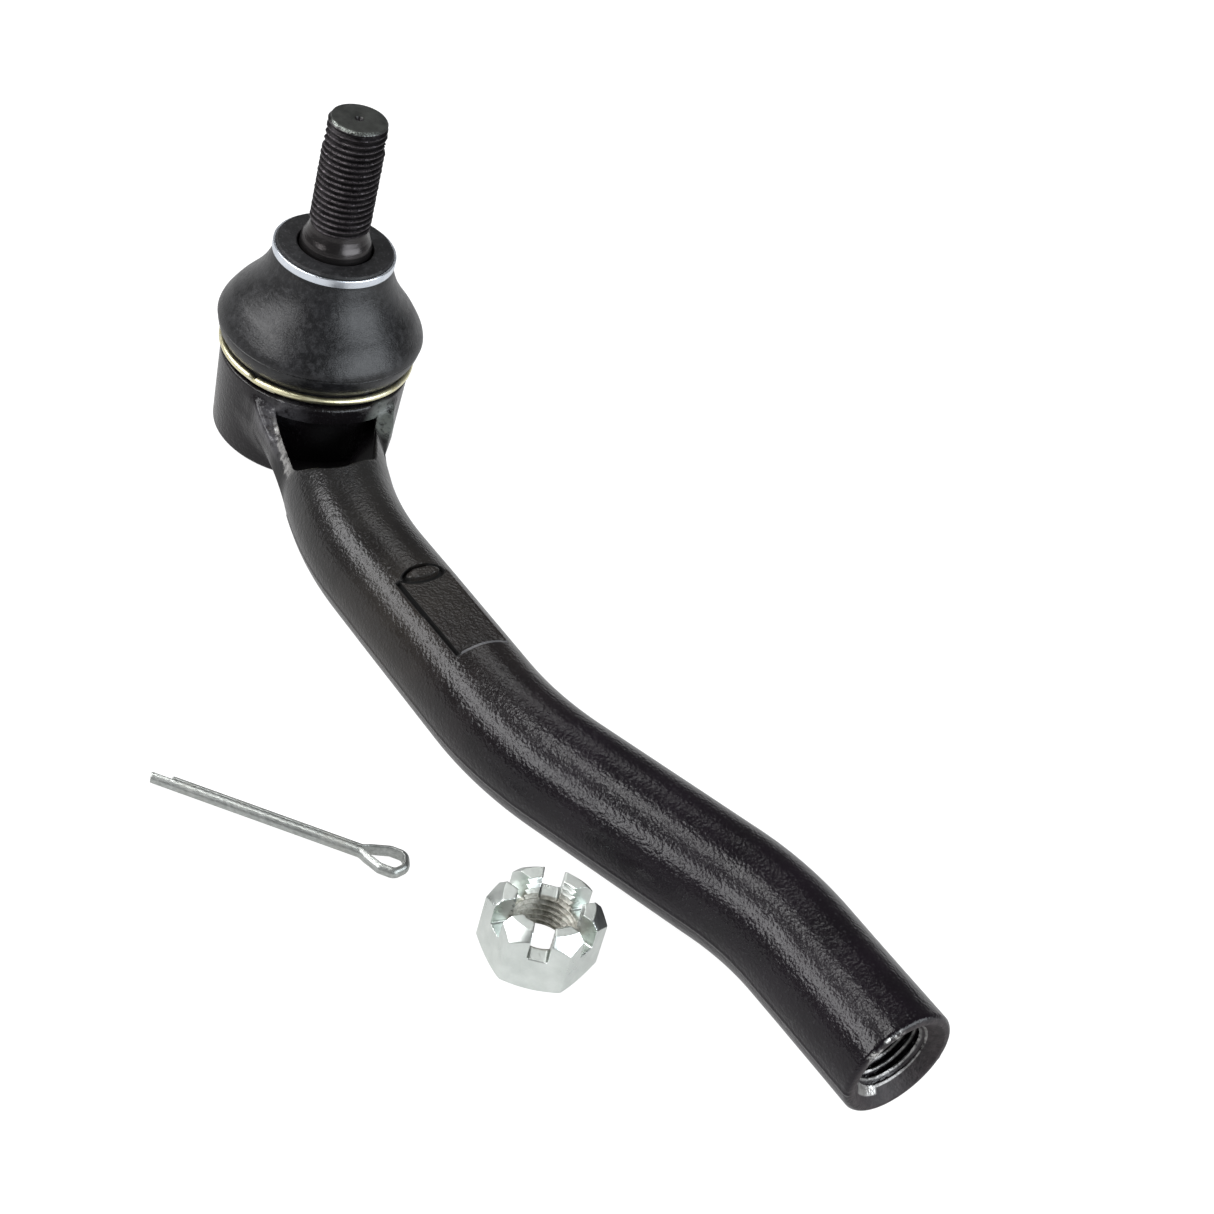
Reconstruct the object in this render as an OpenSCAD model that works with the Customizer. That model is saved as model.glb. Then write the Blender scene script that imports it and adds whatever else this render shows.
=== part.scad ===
// Tie rod end: a forged arm with a ball joint at one end and a threaded bore at the other,
// with its castle nut and cotter pin lying beside it. Millimetres, +Z up.
// The origin is the middle of the housing's base. The stud stands along Z and the arm ends on +X.

/* [Housing] */
// Outside diameter of the ball housing at its base
housing_d = 36.4; // [36:0.1:37]
// Outside diameter of the housing at the flange under the boot
flange_d = 37.8; // [37.4:0.1:38.2]
// Height of the flange's lower edge
flange_low = 14.3; // [14:0.1:15.4]
// Height of the flange's upper edge
flange_high = 17.6; // [17.5:0.1:17.7]
// Height of the housing's top
housing_h = 22; // [21.8:0.1:22.2]
// Diameter of the bore that holds the seats
socket_d = 28; // [27.8:0.1:28.1]

/* [Ball stud] */
// Diameter of the ball
ball_d = 20; // [19.4:0.1:20]
// Height of the ball's centre
ball_z = 12.5; // [12.4:0.1:12.6]
// Diameter of the stud's thread
thread_d = 12; // [11:0.5:12.5]
// Height of the stud's top
stud_top = 72; // [66:0.5:80]
// Height where the thread begins
thread_low = 48.6; // [48.4:0.1:50]
// Diameter of the cotter hole
cotter_hole_d = 3.2; // [2.8:0.1:3.6]
// Distance from the stud's top to the cotter hole
cotter_hole_drop = 5; // [4:0.5:8]
// Direction of the cotter hole about the stud
cotter_hole_turn = 54; // [0:1:180]

/* [Arm] */
// Diameter of the arm
arm_d = 21.5; // [20.8:0.1:21.7]
// Distance from the stud to the threaded end
arm_len = 193.5; // [188:0.5:205]
// How far the arm stands to the side where its neck's line ends
bow = 17.6; // [16:0.1:18.6]
// How far it stands to the side where it turns back
bow_far = 18.2; // [17:0.1:19]
// Distance along the arm where the neck's line meets the bowed line
bow_start = 45.8; // [44:0.1:48]
// Distance along the arm where the bowed line turns back
bow_end = 106.1; // [102:0.1:110]
// Distance along the arm where the return line meets the end's line
return_end = 157.3; // [155:0.1:160]
// Bend radius next to the neck
neck_bend_r = 66; // [60:1:72]
// Bend radius where the arm turns back
return_bend_r = 63; // [55:1:70]
// Bend radius next to the end
end_bend_r = 52; // [45:1:58]
// Diameter of the threaded bore's crests
bore_d = 12.4; // [12:0.1:12.8]
// Length of the threaded bore
bore_len = 36; // [30:0.5:37]

/* [Boot] */
// Widest diameter of the boot
boot_d = 40.8; // [40.4:0.1:41]
// Height of the boot's top lip
boot_top = 43.6; // [43.4:0.1:43.8]

/* [Loose hardware] */
// Across-flats size of the castle nut
nut_af = 18; // [17:0.5:19]
// Height of the castle nut
nut_h = 12; // [11:0.5:14]
// Wire diameter of the closed cotter pin
cotter_d = 2.4; // [2:0.1:2.8]
// Length of the cotter pin from its eye to its long tip
cotter_len = 47; // [40:1:55]

/* [Hidden] */
$fn = 96;
eps = 0.01;
housing_r = housing_d / 2;
flange_r = flange_d / 2;
flange_round = 0.6;
spigot_r = 16.6;
spigot_lip_r = 17.2;
spigot_lip_z = 21.2;
base_round = 0.5;
socket_r = socket_d / 2;
plug_seat_r = 14.5;
plug_seat_top = 2.15;
rolled_lip_r = 13.2;
rolled_lip_top = 0.65;
socket_top = 17.5;
throat_r = 9.6;
mouth_r = 11;
ball_r = ball_d / 2;
thread_r = thread_d / 2;
arm_r = arm_d / 2;
arm_lift = 0.15;
arm_z = arm_r + arm_lift;
bore_r = bore_d / 2;
countersink_r = 9.2;
end_round = 1.2;
drill_tip = 3.5;
neck_angle = atan2(-bow, bow_start);
bow_angle = atan2(bow - bow_far, bow_end - bow_start);
return_angle = atan2(bow_far, return_end - bow_end);
neck_tangent = neck_bend_r * tan((bow_angle - neck_angle) / 2);
return_tangent = return_bend_r * tan((return_angle - bow_angle) / 2);
end_tangent = end_bend_r * tan(return_angle / 2);
bend_step = 0.06;
bend_lap = 0.5;
neck_top = 14.6;
neck_low = 6.6;
neck_turn = -18.7;
pocket_floor = 7.4;
pocket_end = 35.5;
pocket_end_r = 7.1;
pocket_side = -2.1;
pocket_mouth = 10.8;
pocket_wall_r = 17.4;
pad_start = 70;
pad_end = 91.5;
pad_w = 10.4;
pad_z = 19.7;
running = 0.03;
seat_gap = 0.2;
boot_foot = 18;
boot_wall = 2;
lip_bore_r = 7.75;
band_low = 41.3;
band_high = 43;
band_in = 11.65;
band_out = 12.1;
clip_z = 19.55;
clip_r = 18.8;
clip_wire_r = 0.6;
nut_pos = [141.5, -34.7];
nut_turn = -40.7;
nut_bore_r = 5.45;
nut_slot_w = 3.5;
nut_slot_deep = 5.1;
nut_tip_r = 7.7;
nut_corner_r = nut_af / sqrt(3);
cotter_tip = [82.2, -75.9];
cotter_turn = 41.5;
cotter_short = 3.6;
eye_len = 9.6;
eye_w = 5.6;
wire_r = cotter_d / 2;

// A bend of the arm: part of a torus, whose heading turns by the given angle
module arm_bend(start, heading, radius, turn) {
    side = turn > 0 ? 1 : -1;
    translate([start[0], start[1], arm_z])
        rotate(heading)
            translate([0, side * radius, 0])
                rotate(side > 0 ? -90 : 90 + turn)
                    rotate_extrude(angle = abs(turn), $fn = 180)
                        translate([radius, 0])
                            circle(r = arm_r - bend_step, $fn = 64);
}

// A straight stretch, lapped a little into the bends at both ends
module arm_straight(start, heading, len) {
    translate([start[0], start[1], arm_z])
        rotate([0, 0, heading])
            translate([-bend_lap, 0, 0])
                rotate([0, 90, 0])
                    cylinder(r = arm_r, h = len + 2 * bend_lap, $fn = 64);
}

// The last straight stretch, with its edge rounded off
module arm_end(len) {
    rotate_extrude($fn = 64)
        polygon([
            [0, 0], [arm_r, 0], [arm_r, len - end_round], [arm_r - 0.25 * end_round, len - 0.35 * end_round],
            [arm_r - 0.75 * end_round, len], [0, len]
        ]);
}

// A point on a line that leaves [x, y] at the given heading
function along(p, heading, d) = [p[0] + d * cos(heading), p[1] + d * sin(heading)];

module arm_tube() {
    neck_corner = [bow_start, -bow];
    return_corner = [bow_end, -bow_far];
    end_corner = [return_end, 0];
    neck_stop = along(neck_corner, neck_angle, -neck_tangent);
    bow_go = along(neck_corner, bow_angle, neck_tangent);
    bow_stop = along(return_corner, bow_angle, -return_tangent);
    back_go = along(return_corner, return_angle, return_tangent);
    back_stop = along(end_corner, return_angle, -end_tangent);
    end_go = along(end_corner, 0, end_tangent);
    arm_straight([0, 0], neck_angle, norm(neck_stop));
    arm_bend(neck_stop, neck_angle, neck_bend_r, bow_angle - neck_angle);
    arm_straight(bow_go, bow_angle, norm(bow_stop - bow_go));
    arm_bend(bow_stop, bow_angle, return_bend_r, return_angle - bow_angle);
    arm_straight(back_go, return_angle, norm(back_stop - back_go));
    arm_bend(back_stop, return_angle, end_bend_r, -return_angle);
    translate([end_go[0] - bend_lap, 0, arm_z])
        rotate([0, 90, 0])
            arm_end(arm_len - end_go[0] + bend_lap);
}

// The outside of the cup that holds the ball, drafted out to its flange, and the spigot for the boot
module housing_outside() {
    rotate_extrude()
        polygon([
            [0, 0], [housing_r - base_round, 0], [housing_r, base_round],
            [flange_r, flange_high - flange_round], [flange_r - flange_round, flange_high],
            [spigot_r, flange_high], [spigot_r, spigot_lip_z], [spigot_lip_r, spigot_lip_z],
            [spigot_lip_r, housing_h], [0, housing_h]
        ]);
}

// The socket: plug seat with its rolled lip, the bore for the seats and the throat for the stud
module housing_inside() {
    rotate_extrude()
        polygon([
            [0, -1], [rolled_lip_r, -1], [rolled_lip_r, rolled_lip_top], [plug_seat_r, rolled_lip_top],
            [plug_seat_r, plug_seat_top], [socket_r, plug_seat_top], [socket_r, socket_top],
            [throat_r, socket_top], [mouth_r, housing_h], [mouth_r, housing_h + 1], [0, housing_h + 1]
        ]);
}

// Web on both sides of the neck that carries the arm's flanks up to the flange
module neck_web() {
    rotate(neck_turn)
        translate([0, 0, neck_low])
            linear_extrude(neck_top - neck_low)
                polygon([[8, -13.6], [18, -12.8], [26, -11.4], [34, -10], [34, 7.6], [26, 9.6], [18, 12.8], [8, 13.6]]);
}

// Deep forged pocket between the webs, open to the top and cut in under the flange
module neck_pocket() {
    difference() {
        rotate(neck_turn)
            translate([0, 0, pocket_floor]) {
                linear_extrude(housing_h)
                    polygon([
                        [8, -pocket_mouth], [15.3, -pocket_mouth],
                        [pocket_end, pocket_side - pocket_end_r], [pocket_end, pocket_side + pocket_end_r],
                        [15.3, pocket_mouth], [8, pocket_mouth]
                    ]);
                translate([pocket_end, pocket_side, 0])
                    cylinder(r = pocket_end_r, h = housing_h);
            }
        translate([0, 0, -1])
            cylinder(r = pocket_wall_r, h = housing_h + 2);
        translate([0, 0, flange_low])
            cylinder(r = flange_r + 0.6, h = housing_h);
    }
}

module forged_body() {
    color([0.07, 0.07, 0.08])
        difference() {
            union() {
                difference() {
                    union() {
                        arm_tube();
                        neck_web();
                    }
                    translate([0, 0, -1])
                        cylinder(r = housing_r - 1, h = arm_d + 2);
                    translate([0, 0, flange_high - flange_round])
                        cylinder(r = flange_r + 2, h = arm_d);
                }
                housing_outside();
            }
            neck_pocket();
            housing_inside();
            translate([(pad_start + pad_end) / 2, -bow - 1, pad_z + arm_r])
                cube([pad_end - pad_start, pad_w, arm_d], center = true);
            translate([arm_len - bore_len, 0, arm_z])
                rotate([0, 90, 0])
                    cylinder(r = bore_r, h = bore_len + 1);
            translate([arm_len - bore_len - drill_tip, 0, arm_z])
                rotate([0, 90, 0])
                    cylinder(r1 = 0.5, r2 = bore_r, h = drill_tip);
            translate([arm_len - (countersink_r - bore_r), 0, arm_z])
                rotate([0, 90, 0])
                    cylinder(r1 = bore_r, r2 = countersink_r + 0.1, h = countersink_r - bore_r + 0.1);
        }
}

// Pressed steel plug that closes the base, domed down to the resting plane
module closing_plug() {
    color([0.2, 0.2, 0.21])
        rotate_extrude()
            polygon([
                [0, 0], [6, 0], [9, 0.7], [14.4, 0.7], [14.4, 2.1], [8.6, 2.1], [5.8, 1.4], [0, 1.4]
            ]);
}

// Conical disc spring between the plug and the lower seat
module preload_spring() {
    color([0.45, 0.45, 0.47])
        rotate_extrude()
            polygon([[13.2, 2.15], [13.4, 2.65], [9.7, 3.35], [9.5, 2.85]]);
}

// One of the two resin seats: a ring with the ball's shape taken out of it
module seat(low, high, opening) {
    rotate_extrude()
        difference() {
            translate([opening, low])
                square([socket_r - 0.1 - opening, high - low]);
            translate([0, ball_z])
                circle(r = ball_r + running, $fn = 180);
        }
}

module lower_seat() {
    color([0.9, 0.9, 0.86])
        seat(3.4, ball_z - seat_gap, 4.9);
}

module upper_seat() {
    color([0.9, 0.9, 0.86])
        seat(ball_z + seat_gap, socket_top - 0.05, 8.8);
}

// Ball, neck, taper and thread in one piece
module ball_stud() {
    neck_r = 5.4;
    taper_big_r = 8.15;
    taper_small_r = 7;
    taper_low = 33;
    taper_high = 44.8;
    runout_r = 5.4;
    chamfer = 0.9;
    color([0.12, 0.12, 0.12])
        difference() {
            union() {
                translate([0, 0, ball_z])
                    sphere(r = ball_r, $fn = 180);
                rotate_extrude()
                    polygon([
                        [0, ball_z], [neck_r, ball_z], [neck_r, 29], [taper_big_r, taper_low],
                        [taper_small_r, taper_high], [runout_r, thread_low - 0.4],
                        [runout_r, thread_low], [thread_r - 0.5, thread_low], [thread_r, thread_low + 0.5],
                        [thread_r, stud_top - chamfer], [thread_r - chamfer, stud_top], [0, stud_top]
                    ]);
            }
            translate([0, 0, stud_top - cotter_hole_drop])
                rotate([90, 0, cotter_hole_turn + 90])
                    cylinder(d = cotter_hole_d, h = thread_d + 2, center = true);
        }
}

// Rubber boot: a closed shell of revolution from the foot bead up to the top lip
module dust_boot() {
    bulge_r = boot_d / 2;
    color([0.09, 0.09, 0.09])
        rotate_extrude()
            polygon([
                [16.65, boot_foot], [18.1, boot_foot], [18.1, 20.4], [19.1, 22], [bulge_r - 0.7, 23.5],
                [bulge_r - 0.3, 24.8], [bulge_r, 25.9], [bulge_r, 26.4], [bulge_r - 0.6, 28], [18.6, 30],
                [17, 32], [15.3, 34], [13.9, 36], [12.8, 38], [12, 40], [11.6, 41.2],
                [11.6, boot_top], [8.1, boot_top],
                [lip_bore_r, 42.4], [lip_bore_r, 40.6], [9.6, 40], [10.7, 38], [11.8, 36],
                [13.3, 34], [15, 32], [16.6, 30], [17.9, 28], [bulge_r - boot_wall, 26], [18.2, 24],
                [17.4, 22.4], [17.4, 21.1], [16.65, 21.1]
            ]);
}

// Wire ring that clamps the boot's foot, with one end lapped past the other
module boot_clip_ring() {
    color([0.85, 0.78, 0.45])
        translate([0, 0, clip_z])
            rotate_extrude()
                translate([clip_r, 0])
                    circle(r = clip_wire_r, $fn = 32);
}

// Thin bright steel band around the boot's top lip
module boot_top_band() {
    color([0.9, 0.92, 0.95])
        rotate_extrude()
            polygon([
                [band_in, band_low], [band_out, band_low], [band_out, band_high], [band_in, band_high]
            ]);
}

// Hexagon castle nut: chamfered base, six slots in the flats and a threaded bore
module castle_nut() {
    top_chamfer = 3;
    base_chamfer = 1;
    color([0.8, 0.84, 0.84])
        translate([nut_pos[0], nut_pos[1], 0])
            rotate(nut_turn)
                difference() {
                    intersection() {
                        rotate(30)
                            cylinder(r = nut_corner_r, h = nut_h, $fn = 6);
                        rotate_extrude()
                            polygon([
                                [0, 0], [nut_af / 2 - 0.2, 0], [nut_corner_r + 0.3, base_chamfer],
                                [nut_corner_r + 0.3, nut_h - top_chamfer], [nut_tip_r, nut_h], [0, nut_h]
                            ]);
                    }
                    translate([0, 0, -1])
                        cylinder(r = nut_bore_r, h = nut_h + 2);
                    translate([0, 0, -eps])
                        cylinder(r1 = nut_bore_r + 0.8, r2 = nut_bore_r, h = 0.8);
                    for (k = [0:5])
                        rotate(60 * k)
                            translate([nut_bore_r - 2, -nut_slot_w / 2, nut_h - nut_slot_deep])
                                cube([nut_af, nut_slot_w, nut_slot_deep + 1]);
                }
}

// One leg of the cotter pin: a half-round wire from x = 0 to its tip
module cotter_leg(len, side) {
    intersection() {
        rotate([0, 90, 0])
            cylinder(r = wire_r, h = len, $fn = 48);
        translate([-1, side > 0 ? 0 : -cotter_d, -cotter_d])
            cube([len + 2, cotter_d, cotter_d * 2]);
    }
}

// The folded eye: an oval loop of the same half-round wire, lying flat
module cotter_eye() {
    outer_r = eye_w / 2;
    translate([0, 0, -wire_r])
        linear_extrude(cotter_d)
            difference() {
                union() {
                    translate([-eye_len + outer_r, 0])
                        circle(r = outer_r);
                    polygon([[0.5, -wire_r], [0.5, wire_r], [-eye_len + outer_r, outer_r], [-eye_len + outer_r, -outer_r]]);
                }
                translate([-eye_len + outer_r, 0])
                    circle(r = outer_r - wire_r);
                polygon([
                    [-1.2, 0], [-eye_len + outer_r, outer_r - wire_r],
                    [-eye_len + outer_r, -outer_r + wire_r]
                ]);
            }
}

// Split pin of half-round wire, closed, with one leg longer than the other
module cotter_pin() {
    shank = cotter_len - eye_len;
    color([0.66, 0.7, 0.69])
        translate([cotter_tip[0], cotter_tip[1], wire_r])
            rotate(cotter_turn)
                translate([shank, 0, 0])
                    rotate(180) {
                        cotter_leg(shank, 1);
                        cotter_leg(shank - cotter_short, -1);
                        cotter_eye();
                    }
}

forged_body();
closing_plug();
preload_spring();
lower_seat();
upper_seat();
ball_stud();
dust_boot();
boot_clip_ring();
boot_top_band();
castle_nut();
cotter_pin();
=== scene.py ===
import functools
import math

import bpy
import numpy as np
from mathutils import Matrix, Vector


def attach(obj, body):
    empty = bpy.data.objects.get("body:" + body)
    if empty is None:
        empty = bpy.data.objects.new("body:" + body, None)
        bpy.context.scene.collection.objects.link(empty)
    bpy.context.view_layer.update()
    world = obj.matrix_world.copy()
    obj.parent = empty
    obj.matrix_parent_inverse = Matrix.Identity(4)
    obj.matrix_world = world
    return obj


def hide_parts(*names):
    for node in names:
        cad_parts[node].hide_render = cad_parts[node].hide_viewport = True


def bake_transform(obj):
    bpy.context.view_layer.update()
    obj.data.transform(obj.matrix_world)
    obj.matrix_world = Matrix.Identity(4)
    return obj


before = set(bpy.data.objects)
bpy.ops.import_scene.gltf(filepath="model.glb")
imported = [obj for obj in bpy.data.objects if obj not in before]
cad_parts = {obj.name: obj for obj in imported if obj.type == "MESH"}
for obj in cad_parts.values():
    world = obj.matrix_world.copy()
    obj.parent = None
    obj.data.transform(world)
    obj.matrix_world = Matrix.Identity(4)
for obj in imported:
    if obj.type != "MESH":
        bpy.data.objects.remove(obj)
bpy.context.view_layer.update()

MM = 0.001

# ============================================================ places shared by shapes and materials, in mm
ARM_Z = 10.9
END_X = 193.5
# the neck leaves the cup in this direction in plan
NECK = math.radians(-18.7)
# identification pad: middle, half length and half width, the line beside it and the lip at its far end
PAD_X, PAD_Y, PAD_HALF_X, PAD_HALF_Y = 80.7, -16.9, 10.3, 6.3
PAD_Z = 20.2
PAD_LINE_Y = -23.1
PAD_LIP_X = 91.2
# oval island at the pad's near end
ISLAND_X, ISLAND_Y = 70.1, -17.8
BORE_BOTTOM_X = 158.5
CUP_WALL_R = 17.4
STUD_TOP = 71.6
NUT_X, NUT_Y = 141.5, -34.7

# ============================================================ camera and light
EYE = Vector((0.3582, -0.2557, 0.3150))
HEADING = (-0.7106, 0.7036)
PITCH_DOWN = math.radians(37.91)
ROLL = math.radians(16.31)
FOCAL = 77.84
MIDDLE = Vector((0.09, -0.02, 0.02))


def add_camera():
    """A camera at EYE that looks along HEADING in plan and is tilted by ROLL."""
    flat, down = math.cos(PITCH_DOWN), math.sin(PITCH_DOWN)
    forward = Vector((HEADING[0] * flat, HEADING[1] * flat, -down))
    level = Vector((HEADING[1], -HEADING[0], 0)).normalized()
    rise = level.cross(forward)
    right = level * math.cos(ROLL) + rise * math.sin(ROLL)
    up = right.cross(forward)
    lens = bpy.data.cameras.new("camera")
    lens.lens = FOCAL
    lens.sensor_width = 36
    lens.clip_start = 0.01
    lens.clip_end = 20
    camera = bpy.data.objects.new("camera", lens)
    camera.matrix_world = Matrix((right, up, -forward)).transposed().to_4x4()
    camera.location = EYE
    bpy.context.collection.objects.link(camera)
    bpy.context.scene.camera = camera


def panel(name, azimuth, elevation, distance, size, radiance, shade=(1, 1, 1)):
    """A rectangular light that faces MIDDLE from a direction (degrees, metres)."""
    az, el = math.radians(azimuth), math.radians(elevation)
    outward = Vector((math.cos(el) * math.cos(az), math.cos(el) * math.sin(az), math.sin(el)))
    data = bpy.data.lights.new(name, "AREA")
    data.shape = "RECTANGLE"
    data.size, data.size_y = size
    data.energy = radiance * math.pi * size[0] * size[1]
    data.color = shade
    lamp = bpy.data.objects.new(name, data)
    lamp.location = MIDDLE + outward * distance
    lamp.rotation_euler = (-outward).to_track_quat("-Z", "Y").to_euler()
    bpy.context.collection.objects.link(lamp)


add_camera()
bpy.context.scene.view_settings.view_transform = "Standard"
bpy.context.scene.view_settings.look = "None"
panel("key", -118, 33, 1.1, (1.5, 0.34), 7.4, (0.985, 0.985, 1))
panel("overhead", -120, 70, 1.0, (0.55, 0.12), 12)
panel("side", 25, 24, 1.3, (1.4, 0.8), 5, (0.90, 0.95, 1))
panel("left", 152, 50, 1.0, (0.45, 0.2), 3)


# ============================================================ node helpers
def rgba(shade):
    """Four channels from a colour or a grey."""
    return (*shade, 1) if isinstance(shade, tuple) else (shade, shade, shade, 1)


class Mat:
    """A material with short calls for its nodes."""

    def __init__(self, name, **sockets):
        self.mat = bpy.data.materials.new(name)
        self.mat.use_nodes = True
        self.tree = self.mat.node_tree
        self.out = self.tree.nodes["Principled BSDF"]
        for key, value in sockets.items():
            self.out.inputs[key.replace("_", " ")].default_value = value
        # object coordinates in metres, which stay with the piece
        self.spot = self.node("ShaderNodeTexCoord").outputs["Object"]

    def node(self, kind, **settings):
        n = self.tree.nodes.new(kind)
        for key, value in settings.items():
            setattr(n, key, value)
        return n

    def feed(self, value, socket):
        """Sets an input to a number or links another node's output to it."""
        if isinstance(value, (int, float)):
            socket.default_value = value
        else:
            self.tree.links.new(value, socket)

    def set(self, key, value):
        self.feed(value, self.out.inputs[key])

    def stretch(self, scale, turn=(0, 0, 0)):
        """Coordinates scaled along turned axes."""
        n = self.node("ShaderNodeMapping")
        n.inputs["Scale"].default_value = scale
        n.inputs["Rotation"].default_value = turn
        self.feed(self.spot, n.inputs["Vector"])
        return n.outputs["Vector"]

    def noise(self, size, detail=3, rough=0.5, vector=None):
        """Noise whose grain is about size metres."""
        n = self.node("ShaderNodeTexNoise")
        n.inputs["Scale"].default_value = 1 / size
        n.inputs["Detail"].default_value = detail
        n.inputs["Roughness"].default_value = rough
        self.feed(vector or self.spot, n.inputs["Vector"])
        return n.outputs["Fac"]

    def ramp(self, value, *stops):
        """Maps a value through (position, colour or grey) stops."""
        n = self.node("ShaderNodeValToRGB")
        elements = n.color_ramp.elements
        while len(elements) < len(stops):
            elements.new(0.5)
        for element, (position, shade) in zip(elements, stops):
            element.position = position
            element.color = rgba(shade)
        self.feed(value, n.inputs["Fac"])
        return n.outputs["Color"]

    def span(self, value, a, b, c=0.0, d=1.0):
        """Maps a..b to c..d, clamped and smooth."""
        n = self.node("ShaderNodeMapRange", interpolation_type="SMOOTHSTEP")
        for key, limit in zip(("From Min", "From Max", "To Min", "To Max"), (a, b, c, d)):
            n.inputs[key].default_value = limit
        self.feed(value, n.inputs["Value"])
        return n.outputs["Result"]

    def math(self, operation, a, b=0.0):
        n = self.node("ShaderNodeMath", operation=operation)
        self.feed(a, n.inputs[0])
        self.feed(b, n.inputs[1])
        return n.outputs[0]

    def times(self, *values):
        return functools.reduce(functools.partial(self.math, "MULTIPLY"), values)

    def most(self, *values):
        return functools.reduce(functools.partial(self.math, "MAXIMUM"), values)

    def off(self, value, middle, unit=1):
        """Signed distance from middle, counted in units."""
        return self.math("DIVIDE", self.math("SUBTRACT", value, middle), unit)

    def radius(self, a, b):
        return self.math("SQRT", self.math("ADD", self.times(a, a), self.times(b, b)))

    def axes(self):
        """x, y and z in millimetres."""
        scaled = self.node("ShaderNodeVectorMath", operation="SCALE")
        scaled.inputs["Scale"].default_value = 1 / MM
        self.feed(self.spot, scaled.inputs[0])
        n = self.node("ShaderNodeSeparateXYZ")
        self.feed(scaled.outputs[0], n.inputs[0])
        return n.outputs

    def near(self, x, y, z, inner, outer):
        """1 inside the inner distance of a point, 0 beyond the outer one, in millimetres."""
        n = self.node("ShaderNodeVectorMath", operation="DISTANCE")
        self.feed(self.spot, n.inputs[0])
        n.inputs[1].default_value = (x * MM, y * MM, z * MM)
        return self.span(n.outputs["Value"], inner * MM, outer * MM, 1, 0)

    def beside(self, value, middle, inner, outer):
        """1 within inner of middle, 0 beyond outer."""
        return self.span(self.math("ABSOLUTE", self.off(value, middle)), outer, inner)

    def mix(self, share, a, b):
        """a where share is 0, b where it is 1; b may be a colour or a grey."""
        n = self.node("ShaderNodeMix", data_type="RGBA")
        self.feed(share, n.inputs["Factor"])
        sockets = {s.name: s for s in n.inputs if s.type == "RGBA"}
        self.feed(a, sockets["A"])
        if isinstance(b, (tuple, float)):
            sockets["B"].default_value = rgba(b)
        else:
            self.feed(b, sockets["B"])
        return next(s for s in n.outputs if s.type == "RGBA")

    def edges(self, radius):
        """1 on sharp edges, 0 on flat surface."""
        bevel = self.node("ShaderNodeBevel", samples=4)
        bevel.inputs["Radius"].default_value = radius
        dot = self.node("ShaderNodeVectorMath", operation="DOT_PRODUCT")
        self.feed(bevel.outputs[0], dot.inputs[0])
        self.feed(self.node("ShaderNodeNewGeometry").outputs["Normal"], dot.inputs[1])
        return self.span(dot.outputs["Value"], 0.97, 0.80)

    def bump(self, *layers):
        """layers: (height socket, distance in metres, strength)."""
        normal = None
        for height, distance, strength in layers:
            n = self.node("ShaderNodeBump")
            n.inputs["Distance"].default_value = distance
            n.inputs["Strength"].default_value = strength
            self.feed(height, n.inputs["Height"])
            if normal is not None:
                self.feed(normal, n.inputs["Normal"])
            normal = n.outputs["Normal"]
        self.set("Normal", normal)


# ============================================================ materials
def worn_metal(m, ragged, x, y, z):
    """Silver on the pocket's near rim, in a speck on the web and at the end face's top."""
    along = m.math("ADD", m.times(x, math.cos(NECK)), m.times(y, math.sin(NECK)))
    across = m.math("SUBTRACT", m.times(y, math.cos(NECK)), m.times(x, math.sin(NECK)))
    across = m.math("ADD", across, m.times(m.off(ragged, 0.5), 1.6))
    rim = m.times(m.span(across, -11.6, -11.2), m.span(across, -10.4, -10.8), m.span(along, 17, 21),
                  m.span(along, 37, 34), m.span(z, 10, 11.5), m.span(ragged, 0.28, 0.55, 0.0, 0.7))
    speck = m.times(m.near(15.2, -15.7, 15.6, 0.6, 2.4), m.span(ragged, 0.50, 0.56))
    top = m.times(m.near(END_X - 0.1, -6.2, 18.6, 2.0, 4.6), m.span(x, END_X - 0.6, END_X - 0.3),
                  m.span(ragged, 0.50, 0.57))
    return m.most(rim, speck, top)


def bore_metal(m, ragged, x, axis):
    """Silver on the countersink's inner edge, in a nick low down on it and on the thread's crests."""
    lip = m.times(m.span(axis, 7.22, 7.12), m.span(x, END_X - 2.4, END_X - 2.2),
                  m.span(ragged, 0.34, 0.44), 0.6)
    nick = m.times(m.near(END_X - 1.8, -3.7, 4.5, 2.4, 3.2), m.span(axis, 8.05, 7.80),
                   m.span(x, END_X - 2.7, END_X - 2.2))
    crest = m.times(m.span(axis, 6.64, 6.32), m.span(x, BORE_BOTTOM_X - 0.5, BORE_BOTTOM_X),
                    m.span(ragged, 0.30, 0.44), 0.55)
    return m.most(lip, nick, crest)


def pad_groove_shade(m, x, y, z):
    """Painted shade in the moat round the island and in the line beside the pad."""
    oval = m.radius(m.off(x, ISLAND_X, 1.45), m.off(y, ISLAND_Y, 3.8))
    moat = m.times(m.span(oval, 0.84, 0.92), m.span(oval, 1.30, 1.20), m.span(z, 17, 18))
    line = m.times(m.beside(y, PAD_LINE_Y, 0.42, 0.62), m.beside(x, PAD_X, 10.4, 11.0), m.span(z, 17, 18))
    return m.most(moat, line)


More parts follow.
